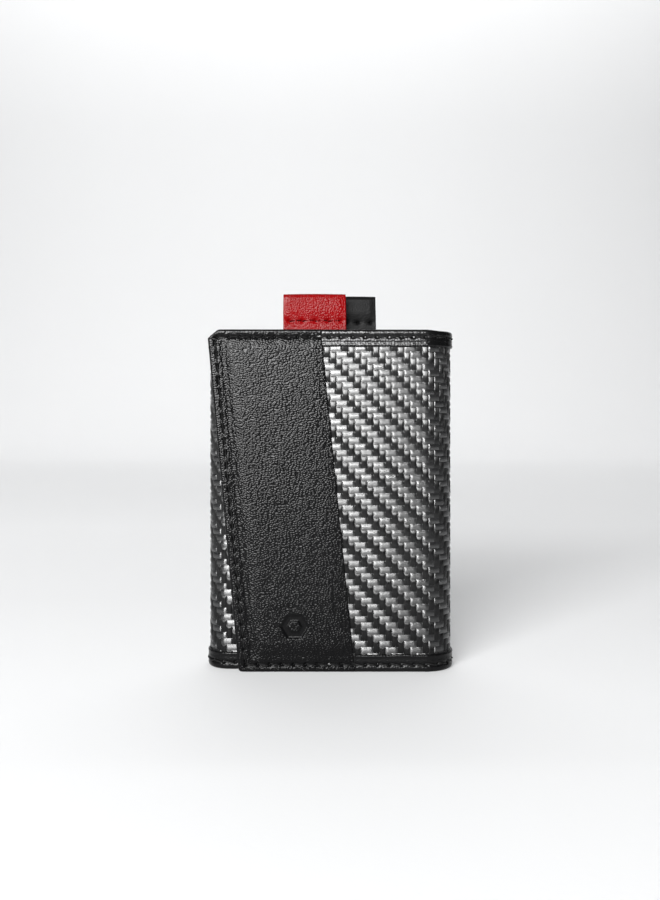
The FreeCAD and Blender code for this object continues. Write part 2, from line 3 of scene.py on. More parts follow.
import bpy
import numpy as np
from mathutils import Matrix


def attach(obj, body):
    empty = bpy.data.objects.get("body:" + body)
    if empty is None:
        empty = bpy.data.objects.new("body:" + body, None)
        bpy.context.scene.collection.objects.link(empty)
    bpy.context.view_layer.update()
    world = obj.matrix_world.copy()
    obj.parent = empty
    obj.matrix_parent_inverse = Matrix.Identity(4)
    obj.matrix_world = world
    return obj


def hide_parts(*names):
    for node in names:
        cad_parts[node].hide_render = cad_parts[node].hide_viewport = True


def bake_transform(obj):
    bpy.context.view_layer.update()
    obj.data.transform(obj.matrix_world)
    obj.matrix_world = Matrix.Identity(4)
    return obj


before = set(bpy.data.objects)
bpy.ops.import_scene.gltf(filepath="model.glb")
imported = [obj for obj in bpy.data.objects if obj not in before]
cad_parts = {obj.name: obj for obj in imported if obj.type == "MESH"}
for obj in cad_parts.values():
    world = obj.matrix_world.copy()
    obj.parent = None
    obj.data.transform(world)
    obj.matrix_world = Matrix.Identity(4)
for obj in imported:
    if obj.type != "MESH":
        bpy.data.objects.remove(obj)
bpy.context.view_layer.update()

# Lengths are in millimetres here and become metres when a mesh is made. One unit of UV is UV_SPAN.
MM = 0.001
UV_SPAN = 100.0
TOP = 99.0
WEB = 1.0  # the skin and its lining stop this far inside the top and bottom edges

# The outer skin seen from above: front panel, left side, back, right side (spine), cover.
PANEL_X, PANEL_Y = 28.4, -5.0
LEFT_X, LEFT_Y, LEFT_R = -29.1, 1.7, 6.7
BACK_Y = 8.4
SPINE_X, SPINE_Y, SPINE_R = 27.5, 0.1, 8.3
COVER_Y = -8.2
S_LEFT = PANEL_X - LEFT_X
S_BACK = S_LEFT + math.pi * LEFT_R
S_SPINE = S_BACK + SPINE_X - LEFT_X
S_COVER = S_SPINE + math.pi * SPINE_R
FOLD_ARC = SPINE_R * math.pi / 3

# Cover outline
FREE_TOP, FREE_BOTTOM = -35.6, -26.4
STRIP_TOP, STRIP_BOTTOM = -3.0, 6.9
CUT_X, CUT_Z = 3.2, 2.6
STRIP_FACE, STRIP_BACK = -8.66, -6.3
MARK_X, MARK_Z, MARK_R = -10.2, 13.2, 4.6

# Tows of the woven skin: their pitch, how deep they lie, and where each is divided across its width
TOW = 1.78
TOW_DEPTH = 0.26
TOW_PARTS = (0, 0.05, 0.15, 0.32, 0.5, 0.68, 0.85, 0.95)

# Sewing: the stitches' pitch, the row's distance from an edge, and a needle hole's depth and width
FORWARD = (0, -1, 0)
STITCH = 3.5
ROW = 2.2
HOLE = 0.5, 0.45
SIDE_HOLE = 0.4, 0.36
THREAD_R = 0.23
HOLE_GAP = 0.12  # from the middle of a needle hole to the end of a stitch

rng = np.random.default_rng(7)
LATTICE = rng.random((8, 64, 64))


def smooth(t):
    """A smooth step, from 0 at 0 to 1 at 1."""
    t = np.clip(t, 0, 1)
    return t * t * (3 - 2 * t)


def ripple(u, v, seed):
    """Smooth noise from -1 to 1 with features about one unit wide."""
    u, v = np.asarray(u, float), np.asarray(v, float)
    i, j = np.floor(u).astype(int), np.floor(v).astype(int)
    a, b = smooth(u - i), smooth(v - j)
    grid = LATTICE[seed % 8]
    value = (
        grid[i % 64, j % 64] * (1 - a) * (1 - b)
        + grid[(i + 1) % 64, j % 64] * a * (1 - b)
        + grid[i % 64, (j + 1) % 64] * (1 - a) * b
        + grid[(i + 1) % 64, (j + 1) % 64] * a * b
    )
    return 2 * value - 1


def rounding(distance, radius):
    """How far a rounded edge drops, at points given by their distance from it."""
    inside = np.clip(radius - distance, 0, radius)
    return radius - np.sqrt(np.clip(radius**2 - inside**2, 0, None))


def pebbles(u, v, size, seed):
    """Leather grain at points in millimetres: about 1 on each pebble, down to 0 in the creases."""
    u, v = np.broadcast_arrays(np.asarray(u, float) / size, np.asarray(v, float) / size)
    i, j = np.floor(u).astype(int), np.floor(v).astype(int)
    first = np.full(u.shape, np.inf)
    second = first.copy()
    shift_u, shift_v = LATTICE[(2 * seed) % 8], LATTICE[(2 * seed + 1) % 8]
    for a in (-1, 0, 1):
        for b in (-1, 0, 1):
            row, col = (i + a) % 64, (j + b) % 64
            du = i + a + 0.1 + 0.8 * shift_u[row, col] - u
            dv = j + b + 0.1 + 0.8 * shift_v[row, col] - v
            away = np.hypot(du, dv)
            second = np.minimum(second, np.maximum(first, away))
            first = np.minimum(first, away)
    return smooth(1.6 * (second - first)) * (1 - 0.5 * first)


def path(s, n):
    """X and Y on the outer skin, s along it from the inner panel's right edge, n outwards from it."""
    s, n = np.broadcast_arrays(np.asarray(s, float), np.asarray(n, float))
    left = (s - S_LEFT) / LEFT_R
    right = (s - S_SPINE) / SPINE_R
    where = [s < S_LEFT, s < S_BACK, s < S_SPINE, s < S_COVER]
    x = np.select(
        where,
        [
            PANEL_X - s,
            LEFT_X - (LEFT_R + n) * np.sin(left),
            LEFT_X + s - S_BACK,
            SPINE_X + (SPINE_R + n) * np.sin(right),
        ],
        SPINE_X - (s - S_COVER),
    )
    y = np.select(
        where,
        [
            PANEL_Y - n,
            LEFT_Y - (LEFT_R + n) * np.cos(left),
            BACK_Y + n,
            SPINE_Y + (SPINE_R + n) * np.cos(right),
        ],
        COVER_Y - n,
    )
    return x, y


def on_path(s, n, z):
    """Points at places s along the skin, n outwards from it and z above the floor."""
    s, n, z = np.broadcast_arrays(s, n, z)
    x, y = path(s, n)
    return np.stack([x, y, z], axis=-1)


class Shell:
    """Collects grids of points and threads, in millimetres, and makes them one mesh object."""

    def __init__(self):
        self.points, self.coords, self.faces, self.slots, self.count = [], [], [], [], 0

    def grid(self, points, coords, slot=0, keep=None):
        """A grid of points, with its UV coordinates in millimetres."""
        rows, cols = points.shape[:2]
        index = np.arange(rows * cols).reshape(rows, cols) + self.count
        quads = np.stack([index[:-1, :-1], index[1:, :-1], index[1:, 1:], index[:-1, 1:]], axis=-1)
        slots = np.broadcast_to(np.asarray(slot), (rows - 1, cols - 1))
        if keep is not None:
            quads, slots = quads[keep], slots[keep]
        self.points.append(points.reshape(-1, 3))
        self.coords.append(np.stack(np.broadcast_arrays(*coords), axis=-1).reshape(-1, 2) / UV_SPAN)
        self.faces.append(quads.reshape(-1, 4))
        self.slots.append(slots.reshape(-1))
        self.count += rows * cols

    def thread(self, line, up, radius):
        """A stitch: a tube along a line of points, with narrow ends."""
        along = np.gradient(line, axis=0)
        along /= np.linalg.norm(along, axis=1, keepdims=True)
        side = np.cross(along, np.asarray(up, float))
        side /= np.linalg.norm(side, axis=1, keepdims=True)
        over = np.cross(side, along)
        turn = np.linspace(0, 2 * np.pi, 9)
        count = len(line)
        t = np.linspace(-1, 1, count)
        width = radius * np.sqrt(np.clip(1 - np.abs(t) ** 6, 0.02, 1))
        ring = side[:, None] * np.cos(turn)[None, :, None] + over[:, None] * np.sin(turn)[None, :, None]
        points = line[:, None] + ring * width[:, None, None]
        length = np.linalg.norm(line[-1] - line[0])
        u = rng.random() * 50 + np.linspace(0, length, count)[:, None]
        v = turn[None, :] * radius
        self.grid(points, (u, v), 1)

    def make(self, name, materials):
        """One mesh object of everything collected, without the points that no face uses."""
        mesh = bpy.data.meshes.new(name)
        points = np.concatenate(self.points) * MM
        coords = np.concatenate(self.coords)
        faces = np.concatenate(self.faces)
        slots = np.concatenate(self.slots)
        used, back = np.unique(faces, return_inverse=True)
        faces = back.reshape(faces.shape)
        points, coords = points[used], coords[used]
        mesh.vertices.add(len(points))
        mesh.vertices.foreach_set("co", points.ravel())
        mesh.loops.add(faces.size)
        mesh.loops.foreach_set("vertex_index", faces.ravel().astype(np.int32))
        mesh.polygons.add(len(faces))
        mesh.polygons.foreach_set("loop_start", np.arange(0, faces.size, 4, dtype=np.int32))
        mesh.polygons.foreach_set("material_index", slots.astype(np.int32))
        mesh.polygons.foreach_set("use_smooth", np.ones(len(faces), bool))
        layer = mesh.uv_layers.new(name="UVMap")
        layer.data.foreach_set("uv", coords[faces.ravel()].ravel().astype(np.float32))
        for material in materials:
            mesh.materials.append(material)
        mesh.update(calc_edges=True)
        mesh.validate()
        obj = bpy.data.objects.new(name, mesh)
        bpy.context.scene.collection.objects.link(obj)
        return obj


# ---------------------------------------------------------------- materials


class Nodes:
    """Short ways to build a material's node tree."""

    def __init__(self, name, color, roughness, **shader_values):
        """A material of one colour. An underscore stands for a space in a shader value's name."""
        self.material = bpy.data.materials.new(name)
        self.material.use_nodes = True
        self.tree = self.material.node_tree
        self.shader = self.tree.nodes["Principled BSDF"]
        self.material.diffuse_color = (*color, 1)
        self.fixed("Base Color", (*color, 1))
        self.fixed("Roughness", roughness)
        for key, value in shader_values.items():
            self.fixed(key.replace("_", " "), value)

    def add(self, kind, inputs=None, **settings):
        """A node. An input is either a value or the output of another node."""
        node = self.tree.nodes.new(kind)
        for key, value in settings.items():
            setattr(node, key, value)
        for key, value in (inputs or {}).items():
            if isinstance(value, bpy.types.NodeSocket):
                self.tree.links.new(value, node.inputs[key])
            else:
                node.inputs[key].default_value = value
        return node

    def uv(self, stretch=(1, 1, 1), turn=0.0):
        """The mesh's own UV map, in which one unit is UV_SPAN."""
        source = self.add("ShaderNodeUVMap", uv_map="UVMap").outputs["UV"]
        return self.mapped(source, stretch, turn)

    def local(self, stretch=(1, 1, 1)):
        """Places in the object's own space, in the same units as the UV map."""
        source = self.add("ShaderNodeTexCoord").outputs["Object"]
        return self.mapped(source, tuple(10 * f for f in stretch), 0.0)

    def mapped(self, source, stretch, turn):
        return self.add(
            "ShaderNodeMapping", {"Vector": source, "Scale": stretch, "Rotation": (0, 0, turn)}
        ).outputs[0]

    def noise(self, vector, size, detail=3.0, rough=0.5):
        """Noise with features about size millimetres wide."""
        return self.add(
            "ShaderNodeTexNoise",
            {
                "Vector": vector,
                "Scale": UV_SPAN / size,
                "Detail": detail,
                "Roughness": rough,
            },
        ).outputs["Fac"]

    def cells(self, vector, size):
        """Distance from the middles of soft cells about size millimetres wide."""
        return self.add(
            "ShaderNodeTexVoronoi",
            {"Vector": vector, "Scale": UV_SPAN / size, "Smoothness": 0.35},
            feature="SMOOTH_F1",
        ).outputs["Distance"]

    def math(self, operation, a, b=0.0, c=0.0):
        """A sum or product of values and outputs."""
        return self.add("ShaderNodeMath", {0: a, 1: b, 2: c}, operation=operation).outputs[0]

    def spread(self, value, low, high, from_low=0.0, from_high=1.0):
        """A value's range from_low to from_high, spread from low to high and held at its ends."""
        return self.add(
            "ShaderNodeMapRange",
            {
                "Value": value,
                "From Min": from_low,
                "From Max": from_high,
                "To Min": low,
                "To Max": high,
            },
        ).outputs[0]

    def mix(self, factor, first, second):
        """A colour between two. Sockets 6, 7 and output 2 are the mix node's colours."""
        colors = {"Factor": factor, 6: (*first, 1), 7: (*second, 1)}
        return self.add("ShaderNodeMix", colors, data_type="RGBA").outputs[2]

    def set(self, socket, value):
        """Leads another node's output into the shader."""
        self.tree.links.new(value, self.shader.inputs[socket])

    def fixed(self, socket, value):
        """Sets one of the shader's own values."""
        self.shader.inputs[socket].default_value = value

    def fade_gloss(self, bottom, top):
        """Gloss that changes along V, from the bottom edge to the top edge: painted shade, less gloss
        lower down.
        """
        height = self.add("ShaderNodeSeparateXYZ", {0: self.uv()}).outputs[1]
        self.set("Specular IOR Level", self.spread(height, bottom, top))

    def bump(self, height, distance):
        """Bump of that depth in millimetres."""
        node = self.add("ShaderNodeBump", {"Height": height, "Distance": distance * MM, "Strength": 1.0})
        self.set("Normal", node.outputs[0])


def tinted(color, factor):
    """A colour made darker or lighter."""
    return tuple(factor * c for c in color)


def leather(name, dark, light, roughness, grain, depth, gloss, bottom_gloss=None):
    """Fine leather: small cells broken by folds, with a slight change of tone.

    grain is the cells' size and depth their height, in millimetres. The last argument is the gloss at
    the bottom edge, lower than at the top: painted shade, so the leather reflects less lower down.
    """
    n = Nodes(name, light, roughness, Specular_IOR_Level=gloss)
    plain = n.uv()
    # painted shade: the gloss fades from the top edge down to the bottom edge
    if bottom_gloss is not None:
        n.fade_gloss(bottom_gloss, gloss)
    shift = n.add("ShaderNodeTexNoise", {"Vector": plain, "Scale": UV_SPAN / 1.4}).outputs["Color"]
    # sockets 4, 5 and output 1 are the mix node's vectors
    bend = {"Factor": 0.002, 4: plain, 5: shift}
    bent = n.add("ShaderNodeMix", bend, data_type="VECTOR").outputs[1]
    cells = n.cells(bent, grain)
    folds = n.noise(bent, grain * 1.1, 3.0, 0.55)
    pores = n.noise(plain, grain * 0.35, 2.0)
    height = n.math("MULTIPLY_ADD", cells, -0.9, n.math("MULTIPLY", folds, 0.35))
    height = n.math("MULTIPLY_ADD", pores, 0.1, height)
    n.bump(height, depth)
    tone = n.noise(plain, 9.0, 2.0)
    mixed = n.math("MULTIPLY_ADD", tone, 0.5, n.math("MULTIPLY", folds, 0.5))
    n.set("Base Color", n.mix(mixed, dark, light))
    n.set("Roughness", n.spread(folds, roughness + 0.08, roughness - 0.05, 0.3, 0.7))
    return n.material


def fibres(name, color, roughness, ior, gloss, brushed, along_u):
    """A flat tow: fine filaments along its length. gloss is given at the bottom and the top edge."""
    n = Nodes(name, color, roughness, IOR=ior, Specular_IOR_Level=gloss[1], Anisotropic=brushed)
    # painted shade: the tows' gloss is lower at the bottom edge than at the top, so they reflect less
    # lower down
    n.fade_gloss(*gloss)
    n.fixed("Anisotropic Rotation", 0.25 if along_u else 0.0)
    n.set("Tangent", n.add("ShaderNodeTangent", direction_type="UV_MAP", uv_map="UVMap").outputs[0])
    stretch = (0.06, 1, 1) if along_u else (1, 0.06, 1)
    lines = n.noise(n.uv(stretch), 0.16, 3.0, 0.6)
    broad = n.noise(n.uv(stretch), 0.9, 2.0)
    n.bump(lines, 0.012)
    mixed = n.math("MULTIPLY_ADD", lines, 0.6, n.math("MULTIPLY", broad, 0.4))
    n.set("Base Color", n.mix(n.spread(mixed, 0, 1, 0.3, 0.7), tinted(color, 0.55), tinted(color, 1.35)))
    n.set("Roughness", n.spread(broad, roughness - 0.06, roughness + 0.08, 0.3, 0.7))
    return n.material


def woven(name, dark, light, wrapped, pitch=0.4, roughness=0.8, depth=0.05):
    """Plain-woven cloth. wrapped cloth follows the mesh's own UV map."""
    n = Nodes(name, light, roughness, Sheen_Weight=0.02, Specular_IOR_Level=0.04)
    plain = n.uv() if wrapped else n.local()
    wave = {"Vector": plain, "Scale": UV_SPAN / pitch / 2 / math.pi, "Distortion": 0.8, "Detail": 1.0}
    across, up, through = (
        n.add("ShaderNodeTexWave", wave, bands_direction=direction).outputs["Fac"]
        for direction in ("X", "Y", "Z")
    )
    crossed = n.math("ADD", n.math("ADD", across, up), through)
    fuzz = n.noise(plain, 0.3, 3.0)
    n.bump(n.math("MULTIPLY_ADD", fuzz, 0.6, n.math("MULTIPLY", crossed, 0.33)), depth)
    tone = n.math("MULTIPLY_ADD", n.noise(plain, 7.0, 2.0), 0.5, n.math("MULTIPLY", fuzz, 0.5))
    n.set("Base Color", n.mix(tone, dark, light))
    return n.material


def thread(name, color, roughness, gloss):
    """Twisted thread."""
    n = Nodes(name, color, roughness, Specular_IOR_Level=gloss)
    ply = n.add(
        "ShaderNodeTexWave",
        {"Vector": n.uv((1, 1, 1), math.radians(40)), "Scale": UV_SPAN / 0.55 / 2 / math.pi},
        bands_direction="X",
    ).outputs["Fac"]
    fuzz = n.noise(n.uv(), 0.12, 2.0)
    n.bump(n.math("MULTIPLY_ADD", fuzz, 0.3, ply), 0.06)
    n.set("Base Color", n.mix(ply, tinted(color, 0.5), color))
    return n.material


def hard(name, color, roughness, metal, size=0.5):
    """Plated or rolled metal, or fibre board, with faint streaks."""
    n = Nodes(name, color, roughness, Metallic=metal)
    streaks = n.noise(n.local((1, 0.2, 1)), size, 3.0)
    n.bump(streaks, 0.01)
    n.set("Roughness", n.spread(streaks, roughness - 0.08, roughness + 0.08, 0.3, 0.7))
    n.set("Base Color", n.mix(streaks, tinted(color, 0.8), color))
    return n.material


INK, SOOT = (0.001, 0.001, 0.0011), (0.004, 0.004, 0.0042)
# The black leathers' gloss falls towards the bottom edge: painted shade.
BLACK_LEATHER = leather("black_leather", INK, SOOT, 0.14, 0.45, 0.005, 0.165, bottom_gloss=0.07)
BAND_LEATHER = leather("band_leather", INK, SOOT, 0.2, 0.45, 0.02, 0.34, bottom_gloss=0.12)
RED_LEATHER = leather("red_leather", (0.09, 0.001, 0.001), (0.19, 0.002, 0.003), 0.15, 0.5, 0.006, 0.075)
TAB_LEATHER = leather("tab_leather", (0.002, 0.002, 0.0021), (0.006, 0.006, 0.0062), 0.4, 0.5, 0.03, 0.06)
RAW_RED = leather("raw_red_edge", (0.12, 0.006, 0.006), (0.25, 0.02, 0.02), 0.8, 0.25, 0.05, 0.1)
RAW_BLACK = leather("raw_black_edge", (0.006, 0.006, 0.0062), (0.02, 0.02, 0.02), 0.8, 0.25, 0.05, 0.1)
# Weft and warp are one fibre. The weft's lighter colour and higher IOR are a painted highlight, and the
# warp's darker colour and lower IOR painted shade.
WEFT = fibres("weft_tows", (0.005, 0.0051, 0.0053), 0.31, 1.84, (0.5, 0.78), 1.0, True)
WARP = fibres("warp_tows", (0.002, 0.002, 0.0021), 0.29, 1.43, (0.2, 0.85), 0.93, False)
LINING = woven("lining_cloth", (0.003, 0.003, 0.0034), (0.014, 0.014, 0.015), False)
LINING_UV = woven("lining_cloth_wrapped", (0.003, 0.003, 0.0034), (0.014, 0.014, 0.015), True)
RIBBON = woven("ribbon_weave", (0.003, 0.003, 0.0032), (0.018, 0.018, 0.019), True, 0.55, 0.6, 0.09)
THREAD = thread("black_thread", (0.01, 0.01, 0.0102), 0.45, 0.08)
DARK_THREAD = thread("tab_thread", (0.003, 0.003, 0.0031), 0.6, 0.02)
STEEL = hard("nickel_plate", (0.62, 0.61, 0.6), 0.3, 1.0)
FOIL = hard("shield_foil", (0.78, 0.78, 0.79), 0.25, 1.0)
BOARD = hard("fibre_board", (0.22, 0.18, 0.14), 0.85, 0.0, 0.3)


# ---------------------------------------------------------------- woven skin


def tow_lines(low, high):
    """Places across the tows between low and high, closer together at the tows' edges."""
    k = np.arange(math.floor(low / TOW), math.ceil(high / TOW) + 1)
    lines = ((k[:, None] + np.array(TOW_PARTS)[None, :]) * TOW).ravel()
    lines = lines[(lines > low + 0.03) & (lines < high - 0.03)]
    return np.concatenate([[low], lines, [high]])


def weave_height(s, z):
    """Height of a two by two twill, 0 in the grooves and 1 on top of a float, and where it is weft.

    A weft float is flat along its length and a warp float is an arch.
    """
    i, j = np.floor(s / TOW + 1e-6), np.floor(z / TOW + 1e-6)
    a, b = s / TOW - i, z / TOW - j
    phase = np.mod(i - j, 4)
    weft = phase < 2
    along = np.where(weft, phase + a, 3 - phase + b) - 1
    across = np.where(weft, b, a) * 2 - 1
    dome = np.clip(1 - np.abs(across) ** np.where(weft, 2.2, 5.0), 0, 1) ** 0.85
    ends = 1 - np.abs(along) ** np.where(weft, 13.0, 2.4)
    return dome * (0.2 + 0.8 * ends), weft


def weave_patch(name, s_low, s_high):
    """Real tows over one stretch of the skin."""
    s, z = tow_lines(s_low, s_high), tow_lines(WEB, TOP - WEB)
    gs, gz = np.meshgrid(s, z, indexing="ij")
    height, _ = weave_height(gs, gz)
    drift = 0.03 * ripple(gs / 9, gz / 9, 1)
    # a face is weft or warp by its middle
    mid_s, mid_z = (s[1:] + s[:-1]) / 2, (z[1:] + z[:-1]) / 2
    _, weft = weave_height(*np.meshgrid(mid_s, mid_z, indexing="ij"))
    shell = Shell()
    points = on_path(gs, -TOW_DEPTH + TOW_DEPTH * height + drift, gz)
    shell.grid(points, (gs, gz), np.where(weft, 0, 1))
    return shell.make(name, [WEFT, WARP])


# ---------------------------------------------------------------- bindings and stitches

# A binding's outer outline, from its lip on the skin to the edge: (outwards, distance from the edge)
LIP_TO_EDGE = np.array(
    [
        (0.00, 5.02), (0.20, 5.05), (0.40, 4.98), (0.51, 4.84), (0.56, 4.62), (0.54, 4.4),
        (0.47, 4.1), (0.44, 3.8), (0.46, 3.5), (0.49, 3.2), (0.48, 2.95), (0.43, 2.7),
        (0.36, 2.45), (0.33, 2.2), (0.35, 1.98), (0.40, 1.75), (0.46, 1.5),
        (0.50, 1.25), (0.51, 1.0), (0.48, 0.75), (0.40, 0.45), (0.26, 0.2), (0.05, 0.06),
    ]
)  # fmt: skip
# Its inner outline, from the edge down the inside of the wall: (share of the wall's thickness, distance)
EDGE_TO_LINING = np.array(
    [
        (-0.35, 0.0), (-0.68, 0.04), (-0.87, 0.16), (-0.97, 0.42), (-1.0, 1.0), (-1.0, 2.2),
        (-1.0, 3.6), (-0.96, 3.9), (-0.85, 4.0),
    ]
)  # fmt: skip


def finer(line, step):
    """More points along a line, at most about step apart."""
    length = np.concatenate([[0], np.cumsum(np.hypot(*np.diff(line, axis=0).T))])
    at = np.linspace(0, length[-1], math.ceil(length[-1] / step) + 1)
    return np.stack([np.interp(at, length, line[:, 0]), np.interp(at, length, line[:, 1])], axis=-1)


def section(wall_thickness):
    """A binding's outline for each thickness of the wall: outwards, and distance from the edge."""
    inner = np.asarray(wall_thickness, float)[:, None]
    outer = finer(LIP_TO_EDGE, 0.17)
    outer = np.broadcast_to(outer[None], (len(inner), *outer.shape))
    n, e = EDGE_TO_LINING.T
    tail = np.stack(np.broadcast_arrays(n * inner, e[None, :]), axis=-1)
    return np.concatenate([outer, tail], axis=1)


def holes_along(s_low, s_high, pitch=STITCH):
    """Places of the needle holes between two ends, about pitch apart."""
    count = max(1, round((s_high - s_low) / pitch))
    return np.linspace(s_low, s_high, count + 1)


def dimples(along, across, holes, depth, size):
    """Depth of the needle holes' dimples at points given along and across the row."""
    nearest = np.abs(along[..., None] - holes).min(axis=-1)
    return depth * np.exp(-(nearest**2 + across**2) / size**2)


def left_side(s):
    """1 round the left side, from 0 at 9 mm before it and back to 0 at 1 mm past it."""
    return smooth((s - S_LEFT + 9) / 9) * smooth((S_BACK + 1 - s) / 9)


def binding(shell, s_low, s_high, inner, top, shrink=0.0, caps=(False, False), dip=math.inf):
    """A leather band over the top or bottom edge of the wall between two places on the path.

    inner is the wall's thickness. shrink draws the band in from the edge. caps are for closed ends.
    Past the place dip the band is thin, since the leather panel lies over it there.
    """
    count = max(2, math.ceil((s_high - s_low) / 0.18))
    s = np.linspace(s_low, s_high, count + 1)
    profile = section(inner(s) if callable(inner) else np.full(len(s), inner))
    n, e = profile[..., 0], profile[..., 1]
    gs = np.broadcast_to(s[:, None], n.shape)
    lip = smooth((e - 3.2) / 1.6)
    n = n + 0.02 * ripple(gs / 2.3, e / 1.9, 2) * (n > 0)
    n = n * (1 - 0.75 * smooth((gs - dip + 1.1) / 0.8) * (n > 0))
    n = n + 0.05 * (pebbles(0.9 * gs + 0.3 * ripple(gs, e, 5), e + 0.3 * gs, 0.65, 2) - 0.5) * (n > 0.2)
    e = e + lip * (0.07 * ripple(gs / 6, 0 * gs, 3) + 0.04 * ripple(gs / 1.7, 0 * gs, 4)) * (n > -0.2)
    holes = STITCH * np.arange(math.floor(s_low / STITCH) - 1, math.ceil(s_high / STITCH) + 2)
    n = n - dimples(gs, e - ROW, holes, *HOLE) * (n > 0.1)
    e = e + shrink
    # the top edge is a little lower round both sides
    droop = 0.35 * smooth((gs - S_SPINE) / 5) * smooth((S_COVER + 1 - gs) / 6)
    droop += 1.3 * left_side(gs)
    z = TOP - e - droop * smooth((4.4 - e) / 4.4) if top else e
    points = on_path(gs, n, z)
    shell.grid(points, (gs, z + 1.3 * n))
    for end, beside, wanted in ((0, 1, caps[0]), (-1, -2, caps[1])):
        if wanted:
            edge = points[end]
            middle = edge.mean(axis=0)
            rings = np.stack([edge, middle + (edge - middle) * 0.92, middle + (edge - middle) * 0.4])
            rings[1:] += (edge - points[beside]).mean(axis=0) * 0.35
            shell.grid(rings, (rings[..., 0], rings[..., 2]))


def row_thread(shell, s_low, s_high, top):
    """The stitches of a binding's row whose middles lie between two places on the path."""
    first, last = math.floor(s_low / STITCH), math.ceil(s_high / STITCH)
    for k in range(first, last):
        middle = (k + 0.5) * STITCH
        if not s_low <= middle < s_high:
            continue
        t = np.linspace(-1, 1, 11)
        s = middle + t * (STITCH / 2 - HOLE_GAP)
        lean = 0.34 * t + 0.05 * rng.normal()
        droop = 0.65 * left_side(middle)
        z = TOP - ROW - lean - droop if top else ROW + lean
        n = 0.49 + 0.02 * rng.normal() - 0.42 * np.abs(t) ** 5
        shell.thread(on_path(s, n, z), (0, 0, 1), THREAD_R)


def stitch_line(shell, start, end, normal, pitch=STITCH, radius=THREAD_R, lean=0.12, sink=0.42):
    """A straight row of stitches from start to end, lying on a surface with that normal.

    Each stitch leans across the row by lean, and its ends sink into the needle holes.
    """
    start, end, normal = (np.array(p, float) for p in (start, end, normal))
    length = np.linalg.norm(end - start)
    holes = holes_along(0, length, pitch)
    along = (end - start) / length
    side = np.cross(normal, along)
    t = np.linspace(-1, 1, 11)[:, None]
    for a, b in zip(holes[:-1], holes[1:]):
        middle = start + along * (a + b) / 2
        reach = (b - a) / 2 - HOLE_GAP
        tilt = lean * t + 0.03 * rng.normal()
        line = middle + along * t * reach + side * tilt + normal * (0.1 - sink * np.abs(t) ** 5)
        shell.thread(line, side, radius)


def wall(s):
    """Thickness of the body's wall under its binding."""
    s = np.asarray(s, float)
    return 1.62 - 0.6 * smooth((s - S_LEFT + 2) / 8)


def blended(obj):
    """Bakes a piece's transform into its mesh."""
    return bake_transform(obj)


SPINE_WALL = 1.02


def cover_end_wall(s):
    """Thickness of the spine's wall where it grows to the cover's."""
    return SPINE_WALL + 0.66 * smooth((s - S_COVER + 7) / 7)


def make_body_shell():
    """The skin and bands of the inner panel, the left side and the back."""
    twill = weave_patch("body_twill", 0.6, S_SPINE)
    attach(twill, "wallet_body")
    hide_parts("body_skin")
    for top in (True, False):
        where = "top" if top else "bottom"
        shell = Shell()
        binding(shell, 0.0, S_SPINE, wall, top, caps=(True, False))
        row_thread(shell, 1.0, S_SPINE, top)
        obj = shell.make(f"body_{where}_band", [BAND_LEATHER, THREAD])
        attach(obj, "wallet_body")
        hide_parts(f"body_{where}_binding", "body_stitches")


def make_spine():
    """Three pieces of skin, lining and bands, one for each third of the spine."""
    for k in range(3):
        low = S_SPINE + k * FOLD_ARC
        high = low + FOLD_ARC
        twill = weave_patch(f"spine_twill_{k}", low, high)
        blended(twill)
        lining = Shell()
        s = np.linspace(low, high, 25)
        z = np.linspace(WEB, TOP - WEB, 120)
        gs, gz = np.meshgrid(s, z, indexing="ij")
        lining.grid(on_path(gs, -0.9 + 0.03 * ripple(gs / 5, gz / 7, 5), gz), (gs, gz))
        inside = lining.make(f"spine_cloth_{k}", [LINING_UV])
        blended(inside)
        for top in (True, False):
            where = "top" if top else "bottom"
            shell = Shell()
            binding(shell, low, high, cover_end_wall if k == 2 else SPINE_WALL, top)
            row_thread(shell, low, high, top)
            band = shell.make(f"spine_{where}_band_{k}", [BAND_LEATHER, THREAD])
            blended(band)
        if k != 1:
            body = "spine_rear" if k == 0 else "spine_front"
            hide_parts(f"{body}_skin")
            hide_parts(f"{body}_lining")
            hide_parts(f"{body}_top_binding", f"{body}_stitches")
            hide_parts(f"{body}_bottom_binding")


# ---------------------------------------------------------------- cover


def free_edge(z):
    """X of the cover's free edge, with its cut corner and slightly rounded ends."""
    z = np.asarray(z, float)
    line = FREE_BOTTOM + (FREE_TOP - FREE_BOTTOM) * z / TOP
    cut = CUT_X * np.clip((z - (TOP - CUT_Z)) / CUT_Z, 0, 1)
    return line + cut + rounding(z, 0.9) + rounding(TOP - z, 0.5)


def strip_edge(z):
    """X of the leather panel's other edge, which lies on the woven skin."""
    return STRIP_BOTTOM + (STRIP_TOP - STRIP_BOTTOM) * np.asarray(z, float) / TOP


def soft_min(a, b, k):
    """The smaller of two distances, with the corner between them rounded over about k."""
    h = np.clip(0.5 + 0.5 * (b - a) / k, 0, 1)
    return b * (1 - h) + a * h - k * h * (1 - h)


def clustered(low, high, step, edge=1.0, ends=(True, True)):
    """Evenly spaced values with closer ones near the ends."""
    values = list(np.arange(low + edge, high - edge + 1e-9, step))
    near = np.array([0.0, 0.03, 0.08, 0.16, 0.27, 0.4, 0.55, 0.72, 0.88]) * edge
    values += list(low + near) if ends[0] else list(np.arange(low, low + edge, step))
    values += list(high - near) if ends[1] else list(np.arange(high - edge, high + 1e-9, step))
    return np.unique(np.round(values, 5))


def mark_depth(x, z):
    """A debossed plain hexagon with a raised smaller one inside."""
    dx, dz = np.abs(x - MARK_X), np.abs(z - MARK_Z) * 1.06
    inside = MARK_R * math.cos(math.pi / 6) - np.maximum(dx * 0.866 + dz * 0.5, dz)
    return 0.42 * smooth(inside) - 0.34 * smooth((inside - 1.9) / 0.8)


